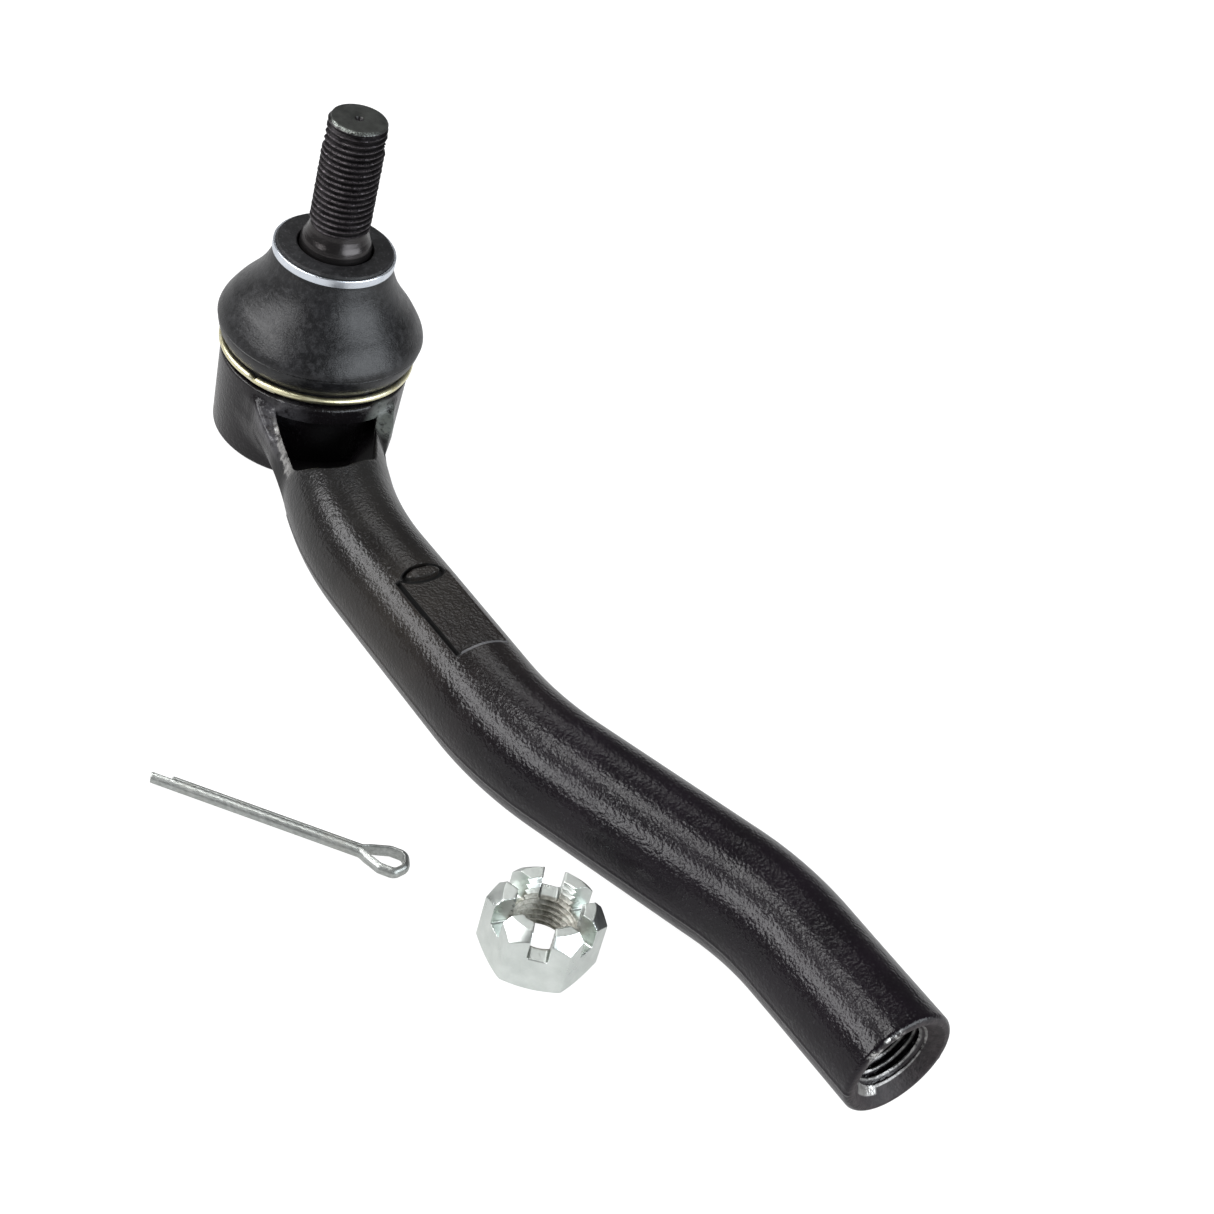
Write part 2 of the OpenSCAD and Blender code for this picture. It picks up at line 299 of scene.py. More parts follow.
def forging_paint():
    """Satin black paint with orange peel, painted light and shade along the arm, painted highlights on the
    webs and the pad's lip, painted shade in the pocket and the pad's grooves; silver where it is worn
    through.
    """
    m = Mat("forging_paint", Specular_IOR_Level=0.36, IOR=1.5)
    broad = m.noise(0.011)
    peel = m.noise(0.0011, 2)
    fine = m.noise(0.00055, 2)
    ragged = m.noise(0.0016, 5, 0.7)
    x, y, z = m.axes()
    axis = m.radius(y, m.off(z, ARM_Z))
    # painted light and shade along the arm: lighter and warm near the neck and in the middle, near black at
    # the cup and towards the open end
    paint = m.ramp(m.off(x, -20, 220), (0.15, (0.0068, 0.0050, 0.0064)), (0.25, (0.0185, 0.0180, 0.0175)),
                   (0.45, (0.0215, 0.0180, 0.0150)), (0.62, (0.0066, 0.0036, 0.0070)))
    paint = m.mix(m.span(broad, 0.3, 0.7, 0.5, 0.0), paint, (0.0034, 0.0030, 0.0036))
    paint = m.mix(m.times(m.span(fine, 0.58, 0.72), 0.35), paint, (0.040, 0.040, 0.043))
    face = m.times(m.span(x, END_X - 2.8, END_X - 2.4), m.span(axis, 10.4, 9.8))
    paint = m.mix(face, paint, m.ramp(ragged, (0.35, (0.013, 0.010, 0.011)), (0.68, (0.046, 0.036, 0.038))))
    # painted highlight: a pale, broken line along the lip at the pad's far end
    lip_highlight = m.times(m.beside(x, PAD_LIP_X, 0.22, 0.42), m.beside(y, ISLAND_Y, 4.9, 5.3), m.span(z, 17.2, 18),
                    m.span(ragged, 0.30, 0.45))
    paint = m.mix(lip_highlight, paint, (0.115, 0.115, 0.120))
    # painted highlight on top of the far web, and a weaker one on the near web, both broken up by noise
    web_highlight = m.times(m.near(20.5, 5.6, 14.0, 2.6, 5.6), m.span(z, 12, 13), m.span(ragged, 0.30, 0.52))
    paint = m.mix(web_highlight, paint, (0.140, 0.150, 0.138))
    web_highlight = m.times(m.near(17.0, -18.6, 13.8, 4.5, 10.0), m.span(z, 10.5, 13), m.span(ragged, 0.30, 0.55))
    paint = m.mix(web_highlight, paint, (0.070, 0.068, 0.074))
    # painted shade: the pocket is painted near black with no shine, and so are the moat and the line by the
    # pad
    pocket = m.times(m.near(28, -9.5, 9.5, 10.5, 14.5), m.span(z, 14.3, 12.8),
                     m.span(m.radius(x, y), CUP_WALL_R - 0.6, CUP_WALL_R - 0.2))
    painted_shade = m.most(pocket, pad_groove_shade(m, x, y, z))
    paint = m.mix(painted_shade, paint, (0.0030, 0.0029, 0.0029))
    bare = m.most(worn_metal(m, ragged, x, y, z), bore_metal(m, ragged, x, axis))
    metal = m.ramp(ragged, (0.4, (0.30, 0.295, 0.285)), (0.65, (0.62, 0.61, 0.59)))
    m.set("Base Color", m.mix(bare, paint, metal))
    m.set("Metallic", bare)
    gloss = m.mix(face, m.ramp(broad, (0.3, 0.20), (0.7, 0.27)), 0.55)
    gloss = m.mix(painted_shade, gloss, 0.9)
    m.set("Roughness", m.mix(bare, gloss, 0.32))
    m.bump((broad, 0.0007, 0.22), (peel, 0.00014, 0.5), (fine, 0.00010, 0.7))
    return m.mat


def turned(name, light, dark, rough, stain=None):
    """Plated or bare turned metal, mottled, with brighter edges."""
    m = Mat(name, Metallic=1.0)
    cloud = m.noise(0.0032, 4, 0.6)
    base = m.ramp(cloud, (0.32, dark), (0.68, light))
    if stain:
        base = m.mix(m.span(m.noise(0.0019, 5, 0.7), 0.54, 0.66), base, stain)
    bright = tuple(min(1, 1.5 * c + 0.08) for c in light)
    m.set("Base Color", m.mix(m.times(m.edges(0.0002), 0.4), base, bright))
    m.set("Roughness", m.ramp(cloud, (0.3, rough), (0.7, rough * 1.45)))
    m.bump((cloud, 0.0001, 0.12), (m.noise(0.0002, 3, 0.7), 0.00003, 0.35))
    return m.mat


def boot_rubber():
    """Matte moulded rubber with a dusty bloom and fine speckle, dustiest on the top lip."""
    m = Mat("boot_rubber", Specular_IOR_Level=0.42)
    fog = m.noise(0.006, 4, 0.6)
    blot = m.noise(0.0013, 4, 0.7)
    speck = m.noise(0.0004, 3, 0.7)
    lip = m.span(m.axes()[2], 40.5, 41.8)
    base = m.ramp(fog, (0.35, (0.0050, 0.0050, 0.0056)), (0.7, (0.0130, 0.0130, 0.0146)))
    base = m.mix(m.span(blot, 0.45, 0.70), base, (0.026, 0.026, 0.028))
    dots = m.times(m.span(speck, 0.60, 0.70), m.math("ADD", m.times(lip, 0.7), 0.12))
    m.set("Base Color", m.mix(dots, base, (0.16, 0.16, 0.165)))
    m.set("Roughness", m.mix(lip, m.ramp(blot, (0.35, 0.28), (0.65, 0.42)), 0.56))
    # mould lines: faint rings round the boot
    rings = m.noise(0.0012, 2, 0.5, m.stretch((0.12, 0.12, 1.2)))
    m.bump((fog, 0.0005, 0.16), (rings, 0.0002, 0.18), (blot, 0.00010, 0.5), (speck, 0.00007, 0.60))
    return m.mat


def seat_resin():
    """Translucent cream bearing plastic with faint flow marks."""
    m = Mat("seat_resin", Subsurface_Weight=0.12)
    marks = m.noise(0.003, 4, 0.55, m.stretch((1, 1, 2.5)))
    m.set("Base Color", m.ramp(marks, (0.3, (0.56, 0.53, 0.45)), (0.7, (0.68, 0.65, 0.57))))
    m.set("Roughness", m.ramp(marks, (0.3, 0.36), (0.7, 0.48)))
    m.bump((m.noise(0.0004, 2), 0.00005, 0.25))
    return m.mat


def stud_phosphate():
    """Black phosphated steel: grey crests, a polished flare and a greased ball."""
    m = Mat("stud_phosphate", Metallic=0.85)
    cloud = m.noise(0.0022, 4, 0.65)
    fine = m.noise(0.00028, 3, 0.7)
    x, y, z = m.axes()
    r = m.radius(x, y)
    crest = m.times(m.span(r, 5.60, 5.96), m.span(z, 47.8, 48.6), m.span(z, 72.2, 70.8),
                    m.span(fine, 0.35, 0.65))
    top = m.times(m.span(z, STUD_TOP - 0.5, STUD_TOP - 0.1), m.span(r, 0.5, 1.2))
    flare = m.times(m.span(z, 48.6, 48.1), m.span(z, 40, 41))
    # painted highlight: a pale broken line on the top face's edge, on the side towards (2.9, -3.6)
    rim = m.times(m.span(z, STUD_TOP - 0.6, STUD_TOP - 0.3), m.span(r, 4.95, 5.15),
                  m.near(2.9, -3.6, STUD_TOP - 0.1, 3.0, 5.5), m.span(fine, 0.46, 0.58))
    ball = m.span(z, 26.2, 25.2)
    base = m.ramp(cloud, (0.3, (0.009, 0.008, 0.0085)), (0.7, (0.027, 0.024, 0.026)))
    base = m.mix(crest, base, (0.140, 0.126, 0.134))
    base = m.mix(top, base, m.ramp(cloud, (0.3, (0.060, 0.064, 0.060)), (0.7, (0.115, 0.120, 0.112))))
    base = m.mix(flare, base, (0.052, 0.048, 0.048))
    base = m.mix(rim, base, (0.30, 0.325, 0.30))
    m.set("Base Color", m.mix(ball, base, (0.55, 0.55, 0.56)))
    gloss = m.mix(flare, m.ramp(cloud, (0.3, 0.30), (0.7, 0.44)), 0.20)
    m.set("Roughness", m.mix(ball, gloss, 0.08))
    m.bump((cloud, 0.00012, 0.18), (fine, 0.00006, 0.5))
    return m.mat


def nut_zinc():
    """Pale greenish zinc with brighter chamfers and a rust-brown thread."""
    m = Mat("nut_zinc", Metallic=1.0)
    cloud = m.noise(0.0038, 4, 0.6)
    x, y, z = m.axes()
    inside = m.times(m.span(m.radius(m.off(x, NUT_X), m.off(y, NUT_Y)), 6.6, 6.0), m.span(z, 10.5, 7.5))
    base = m.ramp(cloud, (0.3, (0.67, 0.715, 0.68)), (0.7, (0.83, 0.87, 0.835)))
    base = m.mix(m.times(m.edges(0.00025), 0.4), base, (0.97, 0.98, 0.96))
    brown = m.ramp(m.noise(0.0009, 4, 0.7), (0.35, (0.27, 0.26, 0.22)), (0.65, (0.60, 0.595, 0.54)))
    m.set("Base Color", m.mix(inside, base, brown))
    m.set("Roughness", m.mix(inside, m.ramp(cloud, (0.3, 0.26), (0.7, 0.37)), 0.46))
    grain = m.noise(0.00022, 3, 0.7)
    m.bump((cloud, 0.0002, 0.18), (m.noise(0.0008, 3), 0.00006, 0.2), (grain, 0.00003, 0.3))
    return m.mat


def pin_zinc():
    """Drawn zinc-grey wire with fine lines along its length."""
    m = Mat("pin_zinc", Metallic=0.95)
    drawn = m.noise(0.0012, 4, 0.6, m.stretch((0.12, 2.2, 2.2), (0, 0, math.radians(-41.5))))
    cloud = m.noise(0.004, 4, 0.6)
    base = m.ramp(drawn, (0.3, (0.33, 0.345, 0.33)), (0.7, (0.54, 0.56, 0.54)))
    m.set("Base Color", m.mix(m.times(m.span(cloud, 0.5, 0.7), 0.4), base, (0.42, 0.415, 0.38)))
    m.set("Roughness", m.ramp(cloud, (0.3, 0.32), (0.7, 0.46)))
    m.bump((drawn, 0.0001, 0.3), (m.noise(0.0003, 3), 0.00003, 0.3))
    return m.mat


MATERIALS = {
    "forging_paint": forging_paint(),
    "plug_steel": turned("plug_steel", (0.40, 0.40, 0.40), (0.20, 0.20, 0.205), 0.36, (0.12, 0.11, 0.10)),
    "spring_steel": turned("spring_steel", (0.34, 0.34, 0.36), (0.20, 0.20, 0.22), 0.30),
    "seat_resin": seat_resin(),
    "stud_phosphate": stud_phosphate(),
    "boot_rubber": boot_rubber(),
    "ring_zinc": turned("ring_zinc", (0.90, 0.86, 0.60), (0.80, 0.74, 0.46), 0.30, (0.90, 0.89, 0.80)),
    "band_steel": turned("band_steel", (0.86, 0.90, 0.96), (0.70, 0.75, 0.82), 0.24),
    "nut_zinc": nut_zinc(),
    "pin_zinc": pin_zinc(),
}


# ============================================================ mesh helpers
def piece(name, verts, faces, slot, body, node, sharp):
    """A visual piece from points in millimetres. It rides body and stands for node."""
    mesh = bpy.data.meshes.new(name)
    mesh.from_pydata((np.asarray(verts, float) * MM).tolist(), [], [list(map(int, f)) for f in faces])
    mesh.validate()
    mesh.shade_smooth()
    mesh.set_sharp_from_angle(angle=math.radians(sharp))
    mesh.materials.append(MATERIALS[slot])
    obj = bpy.data.objects.new(name, mesh)
    bpy.context.collection.objects.link(obj)
    if body:
        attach(obj, body)
    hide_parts(node)
    return obj


def lathe(profile, steps):
    """Closed (r, z) outline turned about Z. Points with r = 0 close on the axis."""
    angles = np.linspace(0, 2 * math.pi, steps, endpoint=False)
    verts, rings = [], []
    for r, z in profile:
        if r < 1e-6:
            rings.append([len(verts)] * steps)
            verts.append((0, 0, z))
        else:
            rings.append(list(range(len(verts), len(verts) + steps)))
            verts += [(r * math.cos(a), r * math.sin(a), z) for a in angles]
    faces = []
    for p, q in zip(rings, rings[1:] + rings[:1]):
        if p[0] == p[1] and q[0] == q[1]:
            continue
        for j in range(steps):
            k = (j + 1) % steps
            faces.append(list(dict.fromkeys([p[j], p[k], q[k], q[j]])))
    return verts, faces


def rounded(points, radii, steps=4):
    """Closed outline with its corners rounded, one radius for each."""
    out = []
    for i, r in enumerate(radii):
        p = np.array(points[i], float)
        a = np.array(points[i - 1], float) - p
        b = np.array(points[(i + 1) % len(points)], float) - p
        la, lb = np.linalg.norm(a), np.linalg.norm(b)
        turn = math.acos(max(-1, min(1, float(a @ b) / (la * lb))))
        if r <= 0 or p[0] < 1e-6 or abs(turn - math.pi) < 0.02:
            out.append(tuple(p))
            continue
        cut_back = min(r / math.tan(turn / 2), 0.48 * la, 0.48 * lb)
        start, end = p + a / la * cut_back, p + b / lb * cut_back
        for k in range(steps + 1):
            t = k / steps
            out.append(tuple((1 - t) ** 2 * start + 2 * t * (1 - t) * p + t * t * end))
    return out


def flow(points, steps=6):
    """Smooth curve through the points."""
    p = np.array([points[0], *points, points[-1]], float)
    out = []
    for i in range(1, len(p) - 2):
        a, b, c, d = p[i - 1:i + 3]
        for k in range(steps):
            t = k / steps
            out.append(tuple(0.5 * (2 * b + (c - a) * t + (2 * a - 5 * b + 4 * c - d) * t * t
                                    + (3 * b - a - 3 * c + d) * t ** 3)))
    return out + [tuple(p[-1])]


def tube(path, radii, sides=20):
    """Round wire along the path, with flat ends; its rings stand square to the path."""
    ahead = np.gradient(path, axis=0)
    ahead /= np.linalg.norm(ahead, axis=1, keepdims=True)
    side = np.cross(ahead, [0, 0, 1.0])
    side /= np.linalg.norm(side, axis=1, keepdims=True)
    lift = np.cross(side, ahead)
    a = np.linspace(0, 2 * math.pi, sides, endpoint=False)
    rings = path[:, None] + radii[:, None, None] * (np.cos(a)[None, :, None] * side[:, None]
                                                    + np.sin(a)[None, :, None] * lift[:, None])
    faces = []
    for i in range(len(path) - 1):
        for j in range(sides):
            k = (j + 1) % sides
            faces.append([i * sides + j, i * sides + k, (i + 1) * sides + k, (i + 1) * sides + j])
    faces.append(list(range(sides))[::-1])
    faces.append(list(range((len(path) - 1) * sides, len(path) * sides)))
    return rings.reshape(-1, 3), faces


# ============================================================ distance shapes, in millimetres
# a shape is an array of distances to a surface, negative inside it
def length(*v):
    return np.sqrt(sum(c * c for c in v))


def join(a, b, r):
    """Union with a round fillet of radius r."""
    return np.maximum(r, np.minimum(a, b)) - length(np.maximum(r - a, 0), np.maximum(r - b, 0))


def cut(a, b, r):
    """a without b, with its edge rounded to r."""
    return np.minimum(-r, np.maximum(a, -b)) + length(np.maximum(r + a, 0), np.maximum(r - b, 0))


def both(a, b, r):
    """Intersection with its edge rounded to r."""
    return cut(a, -b, r)


def turned_axes(x, y, angle):
    """Coordinates along and across a direction in plan."""
    return x * math.cos(angle) + y * math.sin(angle), -x * math.sin(angle) + y * math.cos(angle)


def rectangle(x, y, cx, cy, hx, hy, r):
    """Rectangle about (cx, cy) with half sides hx and hy and corners rounded to r."""
    qx, qy = np.abs(x - cx) - hx + r, np.abs(y - cy) - hy + r
    return length(np.maximum(qx, 0), np.maximum(qy, 0)) + np.minimum(np.maximum(qx, qy), 0) - r


def polygon(x, y, points):
    """Closed outline in a plane."""
    d = np.full(x.shape, 1e9)
    inside = np.zeros(x.shape, bool)
    for i, (ax, ay) in enumerate(points):
        bx, by = points[i - 1]
        ex, ey = bx - ax, by - ay
        wx, wy = x - ax, y - ay
        t = np.clip((wx * ex + wy * ey) / (ex * ex + ey * ey), 0, 1)
        d = np.minimum(d, (wx - ex * t) ** 2 + (wy - ey * t) ** 2)
        if ay != by:
            inside ^= ((ay > y) != (by > y)) & (x < (bx - ax) * (y - ay) / (by - ay) + ax)
    d = np.sqrt(d)
    return np.where(inside, -d, d)


def ridge(phase, flat=0.12):
    """Thread section: 1 on the crest, 0 in the root."""
    saw = np.abs(2 * (phase - np.floor(phase)) - 1)
    return np.clip((saw - flat) / (1 - 2 * flat), 0, 1)


def slope(f, p, h=0.02):
    """Unit gradient of f at the points p."""
    g = np.empty_like(p)
    for k in range(3):
        a, b = p.copy(), p.copy()
        a[:, k] += h
        b[:, k] -= h
        g[:, k] = f(*a.T) - f(*b.T)
    return g / np.maximum(np.linalg.norm(g, axis=1, keepdims=True), 1e-9)


def grid_values(f, low, count, pitch):
    """f on a grid, worked out a slice at a time."""
    gx, gy, gz = (low[k] + pitch * np.arange(count[k]) for k in range(3))
    values = np.empty(count, np.float32)
    thick = 24
    for i in range(0, count[0], thick):
        x, y, z = np.meshgrid(gx[i:i + thick], gy, gz, indexing="ij")
        values[i:i + thick] = f(x.ravel(), y.ravel(), z.ravel()).reshape(x.shape)
    return values


def crossings(f, values, low, pitch, k):
    """Where the surface crosses the grid's edges along axis k: first corner, point and direction of each."""
    first, second = [slice(None)] * 3, [slice(None)] * 3
    first[k], second[k] = slice(0, -1), slice(1, None)
    inside = values < 0
    i = np.argwhere(inside[tuple(first)] != inside[tuple(second)])
    i = i[(i[:, (k + 1) % 3] > 0) & (i[:, (k + 2) % 3] > 0)]
    j = i.copy()
    j[:, k] += 1
    va, vb = values[tuple(i.T)].astype(float), values[tuple(j.T)].astype(float)
    # one step of false position, then a straight line through the nearer pair
    p = low + pitch * i
    s = va / (va - vb)
    p[:, k] += pitch * s
    vm = f(*p.T)
    later = (vm < 0) == (va < 0)
    s0, f0 = np.where(later, s, 0), np.where(later, vm, va)
    s1, f1 = np.where(later, 1, s), np.where(later, vb, vm)
    p[:, k] = low[k] + pitch * (i[:, k] + s0 + (s1 - s0) * f0 / (f0 - f1))
    return i, p, va < 0


def contour(f, low, high, pitch):
    """Dual contouring of f = 0 on a grid: vertices and quads, with crisp creases."""
    low = np.array(low, float)
    count = np.ceil((np.array(high) - low) / pitch).astype(int) + 1
    values = grid_values(f, low, count, pitch)
    stride = np.array([count[1] * count[2], count[2], 1])
    points, cells, quads = [], [], []
    for k in range(3):
        i, p, leaving = crossings(f, values, low, pitch, k)
        u, w = stride[(k + 1) % 3], stride[(k + 2) % 3]
        base = i @ stride
        ring = np.stack([base, base - u, base - u - w, base - w], 1)
        points.append(p)
        cells.append(ring)
        quads.append(np.where(leaving[:, None], ring, ring[:, ::-1]))
    p, ring, quads = np.concatenate(points), np.concatenate(cells), np.concatenate(quads)
    normal = slope(f, p)
    ids, owner = np.unique(ring.ravel(), return_inverse=True)
    owner = owner.ravel()

    def total(w):
        """Sum over the crossings round each cell."""
        return np.bincount(owner, np.repeat(w, 4), len(ids))

    # each cell's vertex is the least squares meeting point of the planes at its crossings
    shared = np.bincount(owner, minlength=len(ids))
    mean = np.stack([total(p[:, k]) for k in range(3)], 1) / shared[:, None]
    matrix = np.empty((len(ids), 3, 3))
    offset = (normal * p).sum(1)
    rhs = np.stack([total(normal[:, k] * offset) for k in range(3)], 1)
    for r in range(3):
        for c in range(r, 3):
            matrix[:, r, c] = matrix[:, c, r] = total(normal[:, r] * normal[:, c])
    rhs -= np.einsum("nij,nj->ni", matrix, mean)
    matrix += 0.06 * np.eye(3)
    move = np.linalg.solve(matrix, rhs[:, :, None])[:, :, 0]
    corner = low + pitch * np.stack([ids // stride[0], ids % stride[0] // stride[1], ids % stride[1]], 1)
    vert = np.clip(mean + move, corner - 0.05 * pitch, corner + 1.05 * pitch)
    return vert, np.searchsorted(ids, quads)


# ============================================================ forged body
# the arm's axis in plan: corners, and the radius of the bend at each inner one
CORNERS = [(0, 0), (45.8, -17.6), (106.1, -18.2), (157.3, 0), (END_X, 0)]
BENDS = [66, 63, 52]
ARM_STATIONS = [20, 30, 70, 110, 150, 174, 185]
ARM_RADII = [10.38, 10.45, 10.73, 10.82, 10.88, 10.7, 10.68]
ARM_CROWN_Y = -17.6

# the webs beside the pocket, as half widths at distances along the neck
WEB_STATIONS = [4, 12, 18, 26, 35, 44]
NEAR_WEB = [14.6, 14.7, 13.5, 12.0, 10.5, 10.3]
FAR_WEB = [14.2, 14.4, 13.2, 9.7, 7.9, 7.5]
LID_STATIONS = [14, 16, 19, 23, 28, 34]
LID_HEIGHTS = [15.4, 14.6, 13.6, 13.0, 12.8, 12.6]
POCKET = rounded([(4, -10.6), (36.8, -10.6), (42.6, -4.2), (37, 4.2), (16.6, 9.8), (4, 10.4)],
                 [0, 5, 5, 3, 3, 0])
POCKET_FLOOR = 3.5

FLANGE_LOW, FLANGE_R = 14.3, 19.3
CUP_R, CUP_DRAFT, CUP_HALF_H = 18.2, 0.04, 8.8
SPIGOT_R, SPIGOT_BEAD_R = 16.6, 17.2
SOCKET_R, SOCKET_LOW, SOCKET_TOP = 14.0, 2.15, 17.5
PLUG_SEAT_R, PLUG_SEAT_LOW = 14.5, 0.65
ROLLED_LIP_R, ROLLED_LIP_TOP = 13.2, 0.7
BORE_ROOT_R, BORE_THREAD_H, BORE_PITCH = 7.0, 0.8, 1.5
FLASH_Z = 8.2


def route():
    """The arm's axis in plan: straights and arcs."""
    parts = []
    start = np.array(CORNERS[0], float)
    for k, radius in enumerate(BENDS):
        a, b, c = (np.array(p, float) for p in CORNERS[k:k + 3])
        u, v = (b - a) / np.linalg.norm(b - a), (c - b) / np.linalg.norm(c - b)
        turn = math.atan2(u[0] * v[1] - u[1] * v[0], u @ v)
        trim = radius * math.tan(abs(turn) / 2)
        stop = b - u * trim
        parts.append(("line", start, stop))
        side = 1 if turn > 0 else -1
        centre = stop + side * radius * np.array([-u[1], u[0]])
        parts.append(("arc", centre, radius, u, v))
        start = b + v * trim
    parts.append(("line", start, np.array([END_X + 8, 0])))
    return parts


ROUTE = route()


def axis_distance(x, y):
    """Distance in plan to the arm's axis."""
    d = np.full(x.shape, 1e9)
    for kind, *sizes in ROUTE:
        if kind == "line":
            a, b = sizes
            e = b - a
            t = np.clip(((x - a[0]) * e[0] + (y - a[1]) * e[1]) / (e @ e), 0, 1)
            d = np.minimum(d, length(x - a[0] - e[0] * t, y - a[1] - e[1] * t))
        else:
            centre, radius, u, v = sizes
            px, py = x - centre[0], y - centre[1]
            swept = (px * u[0] + py * u[1] >= 0) & (px * v[0] + py * v[1] <= 0)
            d = np.where(swept, np.minimum(d, np.abs(length(px, py) - radius)), d)
    return d


def webs(t, s, z):
    """The neck widens towards the cup: webs above the middle, a flattened tube below it."""
    wide = np.where(s < 0, np.interp(t, WEB_STATIONS, NEAR_WEB), np.interp(t, WEB_STATIONS, FAR_WEB))
    flank = (length(s / wide, (z - ARM_Z) / 9.6) - 1) * 9
    wall = both(np.abs(s) - wide, z - np.interp(t, LID_STATIONS, LID_HEIGHTS), 0.9)
    upper = np.clip((z - ARM_Z + 0.8) / 1.6, 0, 1)
    return np.maximum(wall * upper + flank * (1 - upper), t - LID_STATIONS[-1])


def pocket(t, s, z, rad):
    """The hollow between the webs: it narrows downwards and stops at the cup's wall and under the flange."""
    d = (polygon(t, s, POCKET) + 0.5 * np.maximum(ARM_Z - z, 0)) * 0.9
    d = np.maximum(np.maximum(d, POCKET_FLOOR - z), CUP_WALL_R - rad)
    return np.maximum(d, -np.maximum(rad - FLANGE_R, FLANGE_LOW - z))


def socket(rad, z):
    """The ball's socket, the plug's seat, the rolled lip below it and the throat above."""
    d = np.maximum(np.maximum(rad - SOCKET_R, SOCKET_LOW - z), z - SOCKET_TOP)
    d = np.minimum(d, np.maximum(np.maximum(rad - PLUG_SEAT_R, PLUG_SEAT_LOW - z), z - SOCKET_LOW))
    d = np.minimum(d, np.maximum(rad - ROLLED_LIP_R, z - ROLLED_LIP_TOP))
    return np.minimum(d, np.maximum(rad - np.interp(z, [SOCKET_TOP, 22], [9.6, 11]), SOCKET_TOP - 0.5 - z))


def add_cup(d, x, y, z):
    """Adds the neck's webs and the cup, and takes the pocket and the socket out."""
    rad = length(x, y)
    t, s = turned_axes(x, y, NECK)
    d = np.where(t > 2, join(d, webs(t, s, z), 1.5), d)
    # nothing of the arm stands above the flange
    d = np.maximum(d, -np.maximum(rad - 20.5, 17 - z))
    cup = both(rad - (CUP_R + CUP_DRAFT * z), np.abs(z - CUP_HALF_H) - CUP_HALF_H, 0.6)
    d = cut(join(d, cup, 1.6), pocket(t, s, z, rad), 0.4)
    # spigot that carries the boot, with a bead round its top
    d = np.minimum(d, np.maximum(rad - SPIGOT_R, np.abs(z - 17) - 4.2))
    d = np.minimum(d, np.maximum(rad - SPIGOT_BEAD_R, np.abs(z - 21.6) - 0.4))
    return np.maximum(d, -socket(rad, z))


def add_pad(d, x, y, z):
    """Flat facet let into the crown, with an oval island at its near end."""
    crown = ARM_Z + np.sqrt(np.maximum(10.75 ** 2 - (y - ARM_CROWN_Y) ** 2, 1))
    d = cut(d, np.maximum(rectangle(x, y, PAD_X, PAD_Y, PAD_HALF_X, PAD_HALF_Y, 0.5), PAD_Z - z), 0.1)
    line = rectangle(x, y, PAD_X, PAD_LINE_Y, PAD_HALF_X + 0.1, 0.42, 0.3)
    d = cut(d, np.maximum(line, 19.4 - z), 0.12)
    lip = np.maximum(length(x - PAD_LIP_X, z - PAD_Z) - 0.34, z - crown - 0.1)
    d = join(d, np.maximum(lip, np.abs(y - ARM_CROWN_Y) - 4.8), 0.15)
    moat = (length((x - ISLAND_X) / 1.85, (y - ISLAND_Y) / 4.3) - 1) * 1.6
    d = cut(d, np.maximum(moat, crown - 1 - z), 0.12)
    oval = (length((x - ISLAND_X) / 1.1, (y - ISLAND_Y) / 3.5) - 1) * 1.1
    island = both(oval, z - np.minimum(crown, 21.5) + 0.05, 0.25)
    return join(d, np.maximum(island, 17 - z), 0.12)


def cut_end(d, x, y, z):
    """Faces the end and rounds its edge; cuts the threaded bore, its drill point and its countersink."""
    end = both(d, x - END_X, 1.1)
    axis = length(y, z - ARM_Z)
    turn = np.arctan2(z - ARM_Z, y) / (2 * math.pi)
    thread = BORE_ROOT_R - BORE_THREAD_H * ridge(x / BORE_PITCH - turn)
    bore = np.maximum((axis - thread) * 0.6, BORE_BOTTOM_X - x)
    bore = np.minimum(bore, (axis - 9.15 + (END_X - x)) * 0.707)
    drill_point = (axis - (x - BORE_BOTTOM_X + 5) * 1.25) * 0.6
    bore = np.minimum(bore, np.maximum(drill_point, x - BORE_BOTTOM_X - 0.2))
    return cut(end, bore, 0.05)


def forging(x, y, z):
    d = length(axis_distance(x, y), z - ARM_Z) - np.interp(x, ARM_STATIONS, ARM_RADII)
    # flash line where the dies met
    d = d - np.where(x > 34, 0.14 * np.clip(1 - np.abs(z - FLASH_Z) / 0.5, 0, 1), 0)
    for pick, shape in ((x < 50, add_cup), ((x > 60) & (x < 100), add_pad), (x > 140, cut_end)):
        if pick.any():
            d[pick] = shape(d[pick], x[pick], y[pick], z[pick])
    # the underside is flat where it rests on the floor
    return np.maximum(d, -z)


piece("forging", *contour(forging, (-20, -30, -0.6), (194, 20, 23), 0.27),
      "forging_paint", "housing", "forged_body", sharp=38)


# ============================================================ ball stud
BALL_Z, BALL_R = 12.5, 10
COTTER_HOLE_Z, COTTER_HOLE_R = 67, 1.6
COTTER_HOLE_TURN = math.radians(54)
STUD_OUTLINE = [(0, 12.5), (5.4, 12.5), (5.4, 28.6), (6.2, 29.6), (8.15, 33), (7.2, 42.4), (7.0, 44.7),
                (6.75, 45.5), (6.3, 46.4), (5.9, 47.4), (5.62, 48.4), (5.4, 49.3), (5.3, 71), (0, 71)]
STUD_ROOT_R, STUD_THREAD_H, STUD_PITCH = 5.28, 0.72, 1.25
STUD_THREAD_LOW = 47.9


